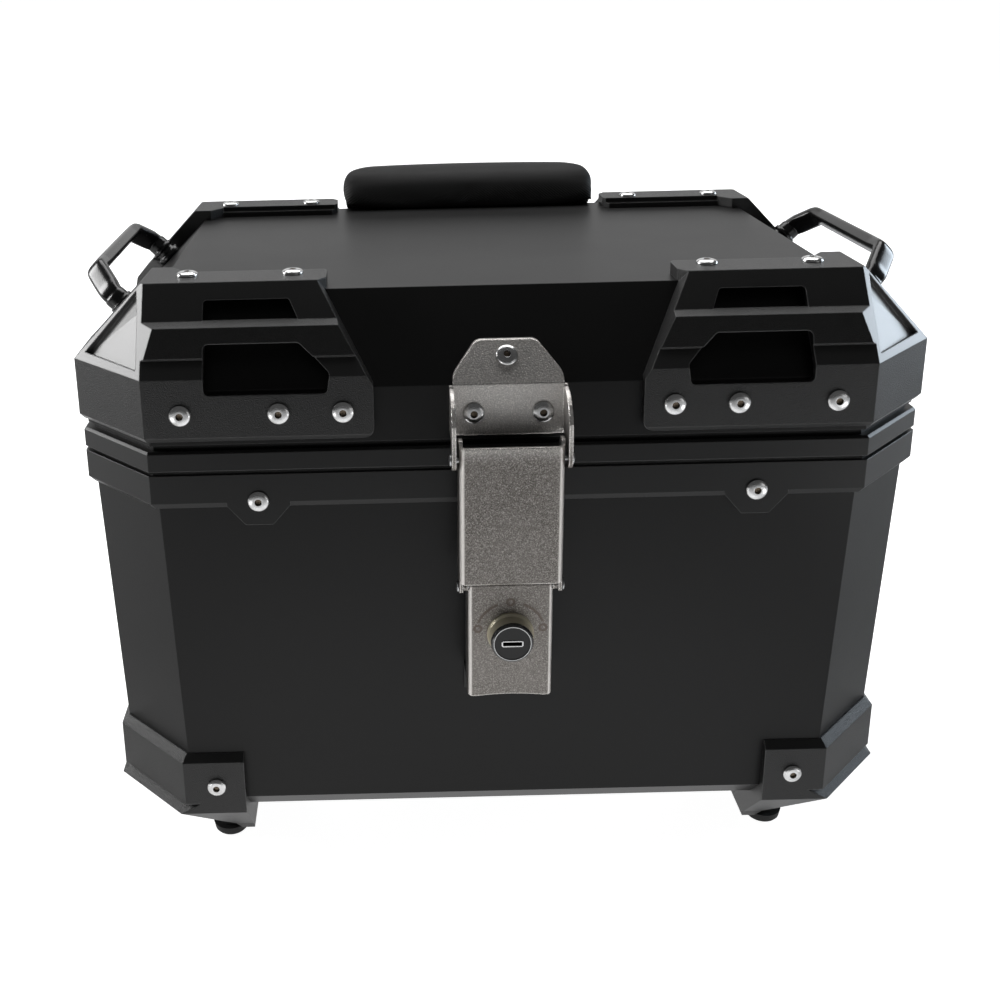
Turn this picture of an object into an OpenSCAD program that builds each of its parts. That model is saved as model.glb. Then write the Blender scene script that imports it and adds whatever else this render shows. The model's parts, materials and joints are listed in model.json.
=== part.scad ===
// Hard top case for a motorcycle: a body and a hinged lid with corner guards, carry handles,
// a backrest pad and a fold-down latch with a key lock.
// X runs across the case, -Y is the latch side, +Y is the hinge side, Z is up from the feet.

/* [Body] */
// Half width of the body shell just under its rim
body_w = 215.4; // [213:0.2:216]
// Half depth of the body shell just under its rim
body_d = 145.0; // [144:0.2:146]
// How far the body narrows, each side, from rim to floor
body_draft_x = 4.8; // [3:0.2:7]
// How far the body narrows, front and back, from rim to floor
body_draft_y = 7.1; // [6:0.1:9]
// Leg of the corner cut of the body
body_cut = 39.5; // [36:0.5:42]
// Height of the floor's underside above the ground
floor_z = 30; // [28:1:32]
// Height of the slanted edge under the walls
skirt_h = 15.4; // [14:0.2:18]
// Wall thickness of the body and the lid
wall = 2.2; // [2:0.1:2.6]

/* [Lid] */
// Half width of the lid's upright band
lid_w = 216.4; // [216:0.1:217]
// Half depth of the lid's upright band
lid_d = 146.2; // [146:0.1:146.6]
// Height of the crease between the band and the sloping faces
crease_z = 285.2; // [284:0.2:286]
// Height of the top panel
panel_z = 326.5; // [326:0.1:327]
// Half width of the top panel
panel_w = 175; // [173:0.5:176]
// Half depth of the top panel
panel_d = 112; // [111:0.5:113]

/* [Trims] */
// Half width of both rim trims
trim_w = 219; // [218.6:0.1:219.4]
// Half depth of both rim trims
trim_d = 147.2; // [147:0.1:147.6]
// Leg of the corner cut of both rim trims
trim_cut = 40; // [39:0.5:41]
// Top of the body trim
seam_z = 240.9; // [240:0.1:241]
// Gap between the body trim and the lid trim
seam_gap = 2.3; // [2:0.1:2.6]

/* [Corner guards] */
// Half width over the lid guards
guard_w = 220; // [220:0.2:220.6]
// Half depth over the lid guards
guard_d = 150.4; // [150:0.2:151]
// Leg of the guard's corner cut
guard_cut = 41; // [40:0.5:42]
// Height where the guard's upright band meets its slopes
guard_break_z = 292.2; // [291.5:0.1:293]
// Top of the guard's flange on the lid panel
guard_top_z = 332.6; // [332:0.1:333]
// Underside of the guard
guard_low_z = 259.5; // [259:0.5:260]
// Thickness of the guard's skin over its slopes
guard_skin = 3.3; // [3:0.1:3.6]

/* [Latch] */
// Half width of the latch arm
arm_w = 25.8; // [25.6:0.1:26]
// Half width of the latch flap
flap_w = 21.4; // [21:0.1:21.6]
// Sheet thickness of the latch pieces
sheet = 2; // [1.9:0.1:2.1]
// Height of the pivot between lid bracket and arm
arm_pivot_z = 252.5; // [252:0.5:253]
// Height of the pivot between arm and flap
flap_pivot_z = 184.6; // [184.4:0.1:184.7]
// Height of the lock's axis
lock_z = 158.8; // [158:0.2:160]

/* [Hinge] */
// Half length of the rear hinge
hinge_half = 55; // [50:1:58]
// Radius of the hinge knuckles
knuckle_r = 4.6; // [4.4:0.1:4.8]

/* [Handles] */
// Distance of the handle's feet from the middle
handle_foot_y = 68; // [66:1:69]
// Distance of the grip's corners from the middle
handle_grip_y = 49; // [47:1:50]
// Height of the grip above the sloping side
handle_rise = 25; // [23:0.5:26]

/* [Backrest] */
// Half width of the pad at its top
pad_w = 86.5; // [84:0.5:88]
// Height of the pad along the lid's slope
pad_h = 63; // [58:1:64]

/* [Rack mount] */
// Distance between the rack bolts across the case
rack_x = 200; // [180:5:210]
// Distance between the rack bolts along the case
rack_y = 140; // [120:5:150]
// Radius of the rack bolt holes
rack_hole_r = 3.25; // [3.2:0.05:3.3]

/* [Hidden] */

clearance = 0.3;
big = 400;
round_fn = 48;

// Body sizes that follow from the driving ones
floor_w = body_w - body_draft_x;
floor_d = body_d - body_draft_y;
skirt_z = floor_z + skirt_h;
body_top_z = seam_z;
trim_low_z = 222.9;
lid_trim_z = seam_z + seam_gap;
lid_trim_top_z = 253.6;
band_low_z = 256.8;
neck_in = 2.8;

// Corner-guard slopes: how far the skin moves inwards for each millimetre up
guard_panel_w = 181.4;
guard_panel_d = 117.2;
guard_tip_cut = 1.4;
side_run = (guard_w - guard_panel_w) / (guard_top_z - guard_break_z);
front_run = (guard_d - guard_panel_d) / (guard_top_z - guard_break_z);
lid_cut = 39;
panel_cut = 5;

// Lid slopes: their angles with the ground, and their skin measured level
lid_slope = atan((panel_z - crease_z) / (lid_d - panel_d));
lid_side_slope = atan((panel_z - crease_z) / (lid_w - panel_w));
lid_skin_d = wall / sin(lid_slope) - wall / tan(lid_slope);
lid_skin_w = wall / sin(lid_side_slope) - wall / tan(lid_side_slope);
wall_lean_y = atan(body_draft_y / (seam_z - floor_z - skirt_h));
wall_lean_x = atan(body_draft_x / (seam_z - floor_z - skirt_h));

// Rivet places, as distances from the middle planes
band_rivets_x = [81, 112.5, 160.7];
band_rivet_z = 274;
side_rivets_y = [76, 98];
top_rivets_x = [106, 160];
top_rivets_y = 101.5;
tab_x = 125;
tab_rivet_z = 226.5;
rivet_r = 5.5;
rivet_hole_r = 2.5;
shank_r = 2.4;

// Latch pivots and planes, as places along Y
arm_pivot_y = -163.5;
flap_pivot_y = -162.9;
arm_front_y = -167.6;
flap_front_y = -165.3;
pin_r = 1.25;
pin_gap = 0.05;
ear_x = 29;
strike_front_y = -153.2;
cam_y = -148.8;

// Hinge axis
hinge_y = 153.4;
hinge_z = 242;
hinge_pin_r = 2;
leaf_t = 2.4;

// Foot guards and feet
foot_w = 215.2;
foot_d = 143.2;
foot_cut = 40.5;
foot_top_z = 75;
foot_x = 156;
foot_y = 104;
foot_low_z = 6;
foot_inner_x = 141.5;
foot_inner_y = 70;
foot_rivet_x = 157;
foot_rivet_z = 56;
foot_rivet_y = 84;

// Carry handles: middle of the foot on the guard's sloping side
handle_z = 311;
handle_x = guard_w - (handle_z - guard_break_z) * side_run;
handle_tilt = atan(1 / side_run);
handle_width = 13;

// ---------------------------------------------------------------- shared shapes

// Corners of a rectangle with cut corners, o = [half width, half depth, cut, height]
function octagon(o) = [
    [o[0], -(o[1] - o[2]), o[3]], [o[0], o[1] - o[2], o[3]],
    [o[0] - o[2], o[1], o[3]], [-(o[0] - o[2]), o[1], o[3]],
    [-o[0], o[1] - o[2], o[3]], [-o[0], -(o[1] - o[2]), o[3]],
    [-(o[0] - o[2]), -o[1], o[3]], [o[0] - o[2], -o[1], o[3]]
];

// Solid between two such outlines at different heights
module octagon_loft(low, high) {
    sides = [for (i = [0:7]) [i, i + 8, (i + 1) % 8 + 8, (i + 1) % 8]];
    polyhedron(
        points = concat(octagon(low), octagon(high)),
        faces = concat([[for (i = [0:7]) i]], [[for (i = [7:-1:0]) i + 8]], sides)
    );
}

// Straight-sided solid with that outline
module octagon_prism(w, d, cut, z0, z1) {
    translate([0, 0, z0])
        linear_extrude(z1 - z0)
            polygon([for (p = octagon([w, d, cut, 0])) [p[0], p[1]]]);
}

// Closed band between two such outlines
module octagon_ring(w, d, cut, t, z0, z1) {
    difference() {
        octagon_prism(w, d, cut, z0, z1);
        octagon_prism(w - t, d - t, cut - 0.586 * t, z0 - 1, z1 + 1);
    }
}

// Outline with its corners rounded
module rounded(r) {
    offset(r, $fn = 24)
        offset(delta = -r)
            children();
}

// Turns a shape drawn in X and Z into a slab from y0 to y1
module slab_xz(y0, y1) {
    translate([0, y1, 0])
        rotate([90, 0, 0])
            linear_extrude(y1 - y0)
                children();
}

// Turns a shape drawn in Y and Z into a slab from x0 to x1
module slab_yz(x0, x1) {
    translate([x0, 0, 0])
        rotate([90, 0, 90])
            linear_extrude(x1 - x0)
                children();
}

// Copies a shape to the left and right
module both_sides() {
    children();
    mirror([1, 0, 0]) children();
}

// Copies a shape to the four corners
module four_corners() {
    both_sides() {
        children();
        mirror([0, 1, 0]) children();
    }
}

// Moves a shape from the front right corner to the one named by its two signs
module corner(side, end) {
    mirror([side < 0 ? 1 : 0, 0, 0])
        mirror([0, end > 0 ? 1 : 0, 0])
            children();
}

// Blind rivet standing on z = 0, its domed head above and its shank below
module rivet(head_r = rivet_r, reach = 7, dimple = 1.8) {
    dome = 2.3;
    rotate_extrude($fn = round_fn)
        polygon(concat(
            [[0, -reach], [shank_r, -reach], [shank_r, 0], [head_r, 0], [head_r, 0.5]],
            [for (a = [15:15:75]) [dimple + (head_r - dimple) * cos(a), 0.5 + (dome - 0.5) * sin(a)]],
            [[dimple, dome], [dimple, dome - 2], [0, dome - 2]]
        ));
}

// Hole for a rivet's shank, through a wall at z = 0
module rivet_hole() {
    translate([0, 0, -12])
        cylinder(h = 24, r = rivet_hole_r, $fn = round_fn);
}

// Domed screw head standing on z = 0 with a plain shank below it
module screw(head_r, head_h, shank, reach) {
    rotate_extrude($fn = round_fn)
        polygon(concat(
            [[0, -reach], [shank, -reach], [shank, 0], [head_r, 0], [head_r, head_h * 0.4]],
            [for (a = [20:20:80]) [head_r * cos(a), head_h * 0.4 + head_h * 0.6 * sin(a)]],
            [[0, head_h]]
        ));
}

module facing_front(x, y, z) { translate([x, y, z]) rotate([90, 0, 0]) children(); }
module facing_rear(x, y, z) { translate([x, y, z]) rotate([-90, 0, 0]) children(); }
module facing_side(x, y, z) { translate([x, y, z]) rotate([0, 90, 0]) children(); }

// ---------------------------------------------------------------- body

// Outer form of the body, without trims and guards
module body_form() {
    octagon_loft([floor_w, floor_d, body_cut, skirt_z], [body_w, body_d, body_cut, body_top_z]);
    octagon_loft(
        [floor_w - skirt_h, floor_d - skirt_h, body_cut - 6, floor_z],
        [floor_w, floor_d, body_cut, skirt_z]
    );
}

// Hollow of the body
module body_hollow() {
    inner_cut = body_cut - 0.586 * wall;
    octagon_loft(
        [floor_w - wall, floor_d - wall, inner_cut, skirt_z + 1.2],
        [body_w - wall, body_d - wall, inner_cut, body_top_z + 1]
    );
    octagon_loft(
        [floor_w - skirt_h - wall + 1.2, floor_d - skirt_h - wall + 1.2, inner_cut - 6, floor_z + wall],
        [floor_w - wall, floor_d - wall, inner_cut, skirt_z + 1.2]
    );
}

// Places of the four rack bolts
module at_rack_bolts() {
    for (x = [-rack_x / 2, rack_x / 2], y = [-rack_y / 2, rack_y / 2])
        translate([x, y, 0])
            children();
}

module rack_holes(z0, z1) {
    at_rack_bolts()
        translate([0, 0, z0])
            cylinder(h = z1 - z0, r = rack_hole_r, $fn = round_fn);
}

module foot_screw_holes(z0, z1) {
    four_corners()
        translate([foot_x, -foot_y, z0])
            cylinder(h = z1 - z0, r = 2.2, $fn = round_fn);
}

module foot_guard_rivet_places() {
    four_corners() {
        facing_front(foot_rivet_x, -foot_d, foot_rivet_z) children();
        facing_side(foot_w, -foot_rivet_y, foot_rivet_z) children();
    }
}

module trim_rivet_places() {
    both_sides() {
        facing_front(tab_x, -trim_d, tab_rivet_z) children();
        facing_rear(tab_x, trim_d, tab_rivet_z) children();
    }
    both_sides()
        facing_side(trim_w, 0, tab_rivet_z) children();
}

// Strike rivets hold the strike's upper and lower flanges to the front wall
strike_low = 127;
strike_high = 196;
strike_w = 21.6;
module strike_rivet_places() {
    for (x = [-14, 14], z = [strike_low - 7, strike_high + 6])
        facing_front(x, strike_flange_y(z), z)
            rotate([wall_lean_y, 0, 0]) children();
}
function body_y(z) = floor_d + (z - skirt_z) * body_draft_y / (body_top_z - skirt_z);
function strike_flange_y(z) = -(body_y(z) + sheet);

module hinge_body_rivet_places() {
    for (x = [-42, -14, 14, 42])
        facing_rear(x, body_y(206.5) + leaf_t, 206.5)
            rotate([-wall_lean_y, 0, 0]) children();
}

stay_body_z = 205;

module body_shell() color([0.07, 0.07, 0.075]) difference() {
    body_form();
    body_hollow();
    rack_holes(floor_z - 5, floor_z + 10);
    foot_screw_holes(floor_z - 5, floor_z + 12);
    foot_guard_rivet_places() rivet_hole();
    trim_rivet_places() rivet_hole();
    strike_rivet_places() rivet_hole();
    hinge_body_rivet_places() rivet_hole();
}

// Band round the body's rim, with a hanging tab at each rivet
module body_trim() color([0.06, 0.06, 0.065]) difference() {
    union() {
        octagon_prism(trim_w, trim_d, trim_cut, trim_low_z + 3, seam_z);
        octagon_loft(
            [trim_w - 3, trim_d - 1.6, trim_cut - 1, trim_low_z],
            [trim_w, trim_d, trim_cut, trim_low_z + 3]
        );
        both_sides() {
            slab_xz(-trim_d, -body_d + 4) trim_tab(tab_x);
            slab_xz(body_d - 4, trim_d) trim_tab(tab_x);
            slab_yz(body_w - 4, trim_w) trim_tab(0);
        }
    }
    body_form();
    octagon_prism(body_w - 1, body_d - 1, body_cut - 0.5, trim_low_z - 20, seam_z + 1);
    trim_rivet_places() rivet_hole();
}

// Outline of one tab, centred on x
module trim_tab(x) {
    tab_h = 9.4;
    polygon([
        [x - 16, trim_low_z + 1], [x - 7, trim_low_z - tab_h],
        [x + 7, trim_low_z - tab_h], [x + 16, trim_low_z + 1],
        [x + 16, trim_low_z + 10], [x - 16, trim_low_z + 10]
    ]);
}

module rim_gasket() color([0.03, 0.03, 0.03])
    octagon_ring(trim_w - 3.5, trim_d - 1.2, trim_cut - 1.5, 4.5, seam_z, lid_trim_z - clearance);

// Steel plate on the floor that spreads the load of the rack bolts
module floor_plate() color([0.6, 0.61, 0.62]) difference() {
    translate([0, 0, floor_z + wall])
        linear_extrude(2)
            rounded(12) square([rack_x + 44, rack_y + 40], center = true);
    rack_holes(floor_z, floor_z + 8);
}

module floor_mat() color([0.16, 0.16, 0.17]) difference() {
    mat_w = floor_w - skirt_h - 6;
    mat_d = floor_d - skirt_h - 6;
    octagon_prism(mat_w, mat_d, 34, floor_z + wall + 2, floor_z + wall + 5);
    at_rack_bolts()
        translate([0, 0, floor_z])
            cylinder(h = 12, r = 9, $fn = round_fn);
    four_corners()
        translate([foot_x, -foot_y, floor_z])
            cylinder(h = 12, r = 7, $fn = round_fn);
}

// Moulded foot guard at the front right corner, wrapped round the body's lower corner
module foot_guard_form() color([0.08, 0.08, 0.085]) difference() {
    intersection() {
        union() {
            octagon_loft(
                [foot_w, foot_d, foot_cut, foot_top_z - 4],
                [foot_w - 4, foot_d - 4, foot_cut - 2, foot_top_z]
            );
            octagon_prism(foot_w, foot_d, foot_cut, 45, foot_top_z - 4);
            octagon_loft([foot_w + 2, foot_d, foot_cut - 0.8, 39], [foot_w - 6, foot_d, foot_cut + 2.5, 45]);
            octagon_loft(
                [foot_w - 31, foot_d - 27, foot_cut - 8, foot_low_z + 5],
                [foot_w + 2, foot_d, foot_cut - 0.8, 39]
            );
            octagon_loft(
                [foot_w - 34, foot_d - 30, foot_cut - 8, foot_low_z],
                [foot_w - 31, foot_d - 27, foot_cut - 8, foot_low_z + 5]
            );
        }
        union() {
            slab_xz(-big / 2, -foot_inner_y)
                rounded(7) polygon([
                    [foot_inner_x, -20], [foot_inner_x, foot_top_z],
                    [foot_inner_x + 120, foot_top_z + 20], [foot_inner_x + 120, -20]
                ]);
            slab_yz(foot_inner_x, big)
                rounded(7) polygon([
                    [-foot_inner_y, -20], [-foot_inner_y, foot_top_z],
                    [-foot_inner_y - 120, foot_top_z + 20], [-foot_inner_y - 120, -20]
                ]);
        }
    }
    body_form();
    // hollow under the floor, open towards the middle of the case
    translate([foot_inner_x - 1, -foot_y + 14, foot_low_z + 4])
        cube([foot_x - foot_inner_x + 22, foot_y - 14 - foot_inner_y + 1, floor_z]);
    foot_screw_holes(-1, floor_z + 1);
    foot_guard_rivet_places() rivet_hole();
    translate([foot_x, -foot_y, foot_low_z - 1])
        cylinder(h = 3.5, r = 7, $fn = round_fn);
}

module foot_guard_front_left() { corner(-1, -1) foot_guard_form(); }
module foot_guard_front_right() { corner(1, -1) foot_guard_form(); }
module foot_guard_rear_left() { corner(-1, 1) foot_guard_form(); }
module foot_guard_rear_right() { corner(1, 1) foot_guard_form(); }

// Rubber foot with a spigot that sits in the guard
module rubber_foot_form() color([0.03, 0.03, 0.03])
    translate([foot_x, -foot_y, 0])
        difference() {
            rotate_extrude($fn = round_fn)
                polygon([
                    [0, 0], [7.2, 0], [8.6, 0.6], [9.6, 1.8], [10.4, foot_low_z],
                    [6.9, foot_low_z], [6.9, foot_low_z + 2.4], [0, foot_low_z + 2.4]
                ]);
            translate([0, 0, -1])
                cylinder(h = 20, r = 2.2, $fn = round_fn);
            translate([0, 0, -1])
                cylinder(h = 4, r = 4.6, $fn = round_fn);
        }

module rubber_foot_front_left() { corner(-1, -1) rubber_foot_form(); }
module rubber_foot_front_right() { corner(1, -1) rubber_foot_form(); }
module rubber_foot_rear_left() { corner(-1, 1) rubber_foot_form(); }
module rubber_foot_rear_right() { corner(1, 1) rubber_foot_form(); }

module foot_guard_rivets() color([0.8, 0.8, 0.82])
    foot_guard_rivet_places() rivet(5.2, 9.5);

// Screws that come up through the rubber feet, with a washer and nut on the floor
module foot_screws() color([0.7, 0.7, 0.72])
    four_corners()
        translate([foot_x, -foot_y, 0]) {
            translate([0, 0, 3])
                rotate([180, 0, 0])
                    screw(4.2, 2, 2.1, floor_z + wall + 2);
            translate([0, 0, floor_z + wall])
                difference() {
                    cylinder(h = 3.2, r = 4.4, $fn = 6);
                    translate([0, 0, -1])
                        cylinder(h = 6, r = 2.1, $fn = round_fn);
                }
        }

module trim_rivets() color([0.8, 0.8, 0.82])
    trim_rivet_places() rivet(rivet_r, 7);

// Strike: a folded bridge on the front wall with a tall slot that the lock's cam passes through
module latch_strike() color([0.05, 0.05, 0.05]) difference() {
    union() {
        slab_xz(strike_front_y, -body_y(floor_z) + 12)
            square_plate(strike_w, strike_low, strike_high);
        intersection() {
            slab_xz(-160, -120)
                square_plate(strike_w, strike_low - 13, strike_high + 12);
            translate([0, -sheet, 0]) body_form();
        }
    }
    body_form();
    slab_xz(strike_front_y + sheet, -100)
        square_plate(strike_w + 1, strike_low + sheet, strike_high - sheet);
    slab_xz(strike_front_y - 1, -100)
        square_plate(7, strike_low + 8, strike_high + 20);
    strike_rivet_places() rivet_hole();
}

// Rectangle in X and Z, given its half width and its lower and upper edge
module square_plate(half, z0, z1) {
    translate([-half, z0])
        square([2 * half, z1 - z0]);
}

module strike_rivets() color([0.8, 0.8, 0.82])
    strike_rivet_places() rivet(4.4, 6);

// Knuckles of the rear hinge: five in all, the body has the 2nd and 4th
module knuckles(list) {
    pitch = 2 * hinge_half / 5;
    for (i = list)
        translate([-hinge_half + i * pitch + clearance / 2, hinge_y, hinge_z])
            rotate([0, 90, 0])
                cylinder(h = pitch - clearance, r = knuckle_r, $fn = round_fn);
}

module knuckle_gaps(list) {
    pitch = 2 * hinge_half / 5;
    for (i = list)
        translate([-hinge_half + i * pitch - clearance / 2, hinge_y, hinge_z])
            rotate([0, 90, 0])
                cylinder(h = pitch + clearance, r = knuckle_r + 0.5, $fn = round_fn);
}

module hinge_bore(r) {
    translate([-hinge_half - 1, hinge_y, hinge_z])
        rotate([0, 90, 0])
            cylinder(h = 2 * hinge_half + 2, r = r, $fn = round_fn);
}

module hinge_leaf_body() color([0.1, 0.1, 0.105]) difference() {
    union() {
        intersection() {
            slab_xz(100, 160) rounded(4) square_plate(hinge_half, 196, 219);
            translate([0, leaf_t, 0]) body_form();
        }
        slab_yz(-hinge_half, hinge_half)
            polygon([
                [body_y(216) , 212], [body_y(216) + leaf_t, 212],
                [trim_d + 2.8, 221], [trim_d + 2.8, hinge_z - 4], [hinge_y + 1, hinge_z - 4],
                [hinge_y + 1, hinge_z - 2.5], [trim_d + 0.4, hinge_z - 2.5],
                [trim_d + 0.4, 222], [body_y(216), 216.5]
            ]);
        knuckles([1, 3]);
    }
    body_form();
    knuckle_gaps([0, 2, 4]);
    hinge_bore(hinge_pin_r + pin_gap);
    hinge_body_rivet_places() rivet_hole();
}

module hinge_body_rivets() color([0.75, 0.75, 0.77])
    hinge_body_rivet_places() rivet(4.6, 7);

module hinge_pin() color([0.7, 0.7, 0.72]) {
    hinge_bore(hinge_pin_r);
    both_sides()
        translate([hinge_half + 0.4, hinge_y, hinge_z])
            rotate([0, 90, 0])
                cylinder(h = 1.8, r = 3.4, $fn = round_fn);
}

// Small eyelet for a lid stay, flat on a side wall that leans by the given angle
module stay_anchor(lean) {
    rotate([0, lean - 90, 0]) {
        linear_extrude(1.6)
            rounded(2) square([12, 22], center = true);
        translate([-1, -6, 1.6])
            difference() {
                cube([2, 12, 8]);
                translate([-1, 6, 4])
                    rotate([0, 90, 0])
                        cylinder(h = 4, r = 2, $fn = round_fn);
            }
    }
}

module stay_anchor_body_at(side) color([0.7, 0.7, 0.72])
    mirror([side < 0 ? 1 : 0, 0, 0])
        translate([wall_x(stay_body_z) - wall - 0.05, 20, stay_body_z])
            stay_anchor(wall_lean_x);
function wall_x(z) = floor_w + (z - skirt_z) * body_draft_x / (body_top_z - skirt_z);

module stay_anchor_body_left() { stay_anchor_body_at(-1); }
module stay_anchor_body_right() { stay_anchor_body_at(1); }

// ---------------------------------------------------------------- lid

// Outer form of the lid above its band's lower edge
module lid_form() {
    octagon_prism(lid_w, lid_d, lid_cut, band_low_z, crease_z);
    octagon_loft([lid_w, lid_d, lid_cut, crease_z], [panel_w, panel_d, panel_cut, panel_z]);
}

module lid_neck(inset, z0, z1) {
    octagon_prism(lid_w - inset, lid_d - inset, lid_cut - 0.586 * inset, z0, z1);
}

module guard_band_rivet_places(end) {
    for (x = band_rivets_x)
        both_sides() {
            if (end < 0)
                facing_front(x, -guard_d, band_rivet_z) children();
            else
                facing_rear(x, guard_d, band_rivet_z) children();
        }
}

module guard_side_rivet_places() {
    for (y = side_rivets_y)
        four_corners()
            facing_side(guard_w, -y, band_rivet_z) children();
}

module guard_top_rivet_places() {
    for (x = top_rivets_x)
        four_corners()
            translate([x, -top_rivets_y, guard_top_z]) children();
}

// Rivets of the latch bracket: two on the band, one on the slope
module bracket_rivet_places() {
    for (x = [-17, 17])
        facing_front(x, -lid_d - sheet, 271) children();
    translate([0, -lid_slope_y(296), 296])
        rotate([lid_slope, 0, 0])
            translate([0, 0, sheet]) children();
}
function lid_slope_y(z) = lid_d - (z - crease_z) * (lid_d - panel_d) / (panel_z - crease_z);

module hinge_lid_rivet_places() {
    for (x = [-42, -14, 14, 42])
        facing_rear(x, trim_d + 2.6, 269) children();
}

// Screws of the backrest, square to the lid's rear slope
module backrest_screw_places() {
    for (x = [-45, 0, 45])
        translate([x, lid_slope_y(306), 306])
            rotate([-lid_slope, 0, 0])
                children();
}

module handle_screw_places() {
    four_corners()
        at_handle()
            translate([0, -handle_foot_y, 0]) children();
}

module lid_shell() color([0.07, 0.07, 0.075]) difference() {
    union() {
        lid_form();
        lid_neck(neck_in, lid_trim_z, band_low_z + 0.1);
    }
    lid_neck(neck_in + wall, lid_trim_z - 1, band_low_z + 3);
    lid_neck(wall, band_low_z + 2.9, crease_z - 1);
    octagon_loft(
        [lid_w - wall, lid_d - wall, lid_cut - 0.586 * wall, crease_z - 1],
        [panel_w - lid_skin_w, panel_d - lid_skin_d, panel_cut - 1, panel_z - wall]
    );
    guard_band_rivet_places(-1) rivet_hole();
    guard_band_rivet_places(1) rivet_hole();
    guard_side_rivet_places() rivet_hole();
    guard_top_rivet_places() rivet_hole();
    bracket_rivet_places() rivet_hole();
    hinge_lid_rivet_places() rivet_hole();
    backrest_screw_places()
        translate([0, 0, -12])
            cylinder(h = 24, r = 2.6, $fn = round_fn);
    handle_screw_places()
        translate([0, 0, -26])
            cylinder(h = 30, r = 2.6, $fn = round_fn);
}

module lid_trim() color([0.06, 0.06, 0.065]) difference() {
    union() {
        octagon_prism(trim_w, trim_d, trim_cut, lid_trim_z, lid_trim_top_z - 1.2);
        octagon_loft(
            [trim_w, trim_d, trim_cut, lid_trim_top_z - 1.2],
            [trim_w - 1.2, trim_d - 1.2, trim_cut - 0.7, lid_trim_top_z]
        );
    }
    lid_neck(neck_in, lid_trim_z - 1, lid_trim_top_z + 1);
}

// Guard before it is cut out of its corner: bevelled band, then slopes up to the flange
module guard_form() {
    octagon_loft(
        [guard_w - 2, guard_d - 2, guard_cut - 1.2, guard_low_z],
        [guard_w, guard_d, guard_cut, guard_low_z + 2.5]
    );
    octagon_prism(guard_w, guard_d, guard_cut, guard_low_z + 2.5, guard_break_z);
    octagon_loft(
        [guard_w, guard_d, guard_cut, guard_break_z],
        [guard_panel_w, guard_panel_d, guard_tip_cut, guard_top_z]
    );
}

// Space between the guard's skin and the lid
module guard_hollow() {
    rise = panel_z - guard_break_z + 1.1;
    skin_x = guard_skin * sqrt(1 + side_run * side_run);
    skin_y = guard_skin * sqrt(1 + front_run * front_run);
    low_z = guard_break_z - 1.1;
    low_w = guard_w - guard_skin - 0.3;
    low_d = guard_d - guard_skin - 0.3;
    octagon_prism(low_w, low_d, lid_cut, crease_z - 1, low_z);
    octagon_loft([low_w, low_d, lid_cut, low_z], [low_w - rise * side_run, low_d - rise * front_run, 6, panel_z]);
}

// Where the guard lies on the front: inset moves its inner edge outwards
module guard_front_area(inset) {
    edge_x = 66;
    lean_x = 27;
    r = 6;
    polygon(concat(
        [for (a = [180:15:270]) [edge_x + inset + r + r * cos(a), guard_low_z + r + r * sin(a)]],
        [[big, guard_low_z], [big, guard_top_z + 5], [edge_x + inset + lean_x + 3, guard_top_z + 5]],
        [[edge_x + inset + lean_x, guard_top_z], [edge_x + inset, guard_break_z - 5]]
    ));
}

// Where the guard lies on the side
module guard_side_area(inset) {
    edge_y = 62;
    lean_y = 20;
    r = 6;
    polygon(concat(
        [for (a = [0:-15:-90]) [-(edge_y + inset + r) + r * cos(a), guard_low_z + r + r * sin(a)]],
        [[-big, guard_low_z], [-big, guard_top_z + 5], [-(edge_y + inset + lean_y), guard_top_z + 5]],
        [[-(edge_y + inset + lean_y), guard_break_z + 9], [-(edge_y + inset), guard_break_z - 5]]
    ));
}

// Outline of the flange on the top panel
module guard_flange_area() {
    polygon([
        [93, -125], [93, -118], [88.5, -112], [88.5, -97], [92, -91],
        [164, -91], [171, -82], [195, -82], [195, -125]
    ]);
}

// Keeps only what is inside the slanted corner plane
module guard_corner_limit() {
    grow = 10;
    octagon_prism(guard_w + grow, guard_d + grow, guard_cut + 2 * grow, 250, guard_break_z);
    octagon_loft(
        [guard_w + grow, guard_d + grow, guard_cut + 2 * grow, guard_break_z],
        [guard_panel_w + grow, guard_panel_d + grow, guard_tip_cut + 2 * grow, guard_top_z]
    );
}

// Raised tie-down rail across the front of the guard
module guard_rail() {
    intersection() {
        slab_yz(60, 200)
            polygon([[-129.5, 316.2], [-138.2, 314.8], [-144.9, 301], [-141.5, 299], [-128, 306]]);
        guard_corner_limit();
        slab_xz(-200, -100) guard_front_area(0);
    }
}

// Three-sided recess in the slanted corner facet: flush along its front edge, deep at its outer one
module guard_facet_recess() {
    tip = [guard_panel_w, -guard_panel_d + guard_tip_cut, guard_top_z];
    side = [guard_w, -(guard_d - guard_cut), guard_break_z];
    front = [guard_w - guard_cut, -guard_d, guard_break_z];
    crossed = cross(side - tip, front - tip);
    out = crossed / norm(crossed) * (crossed[0] > 0 ? 1 : -1);
    // shares of tip, side and front in each corner of the recess, and its depth there
    shares = [[0.905, 0.062, 0.033], [0.105, 0.825, 0.07], [0.09, 0.06, 0.85], [0.66, 0.05, 0.29]];
    depth = [2.4, 3, 0.8, 0.3];
    low = [for (i = [0:3]) tip * shares[i][0] + side * shares[i][1] + front * shares[i][2]];
    polyhedron(
        points = concat([for (i = [0:3]) low[i] - out * depth[i]], [for (i = [0:3]) low[i] + out * 3]),
        faces = [
            [3, 1, 0], [2, 1, 3], [5, 7, 4], [5, 6, 7],
            [0, 1, 4], [1, 5, 4], [1, 2, 5], [2, 6, 5], [2, 3, 6], [3, 7, 6], [3, 0, 7], [0, 4, 7]
        ]
    );
}

module guard_lower_window() {
    slab_xz(-200, -90)
        rounded(2.6) polygon([
            [148.5, 283.6], [148.5, 307.2], [102, 307.2], [87, 293.6], [88.5, 283.6]
        ]);
}

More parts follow.
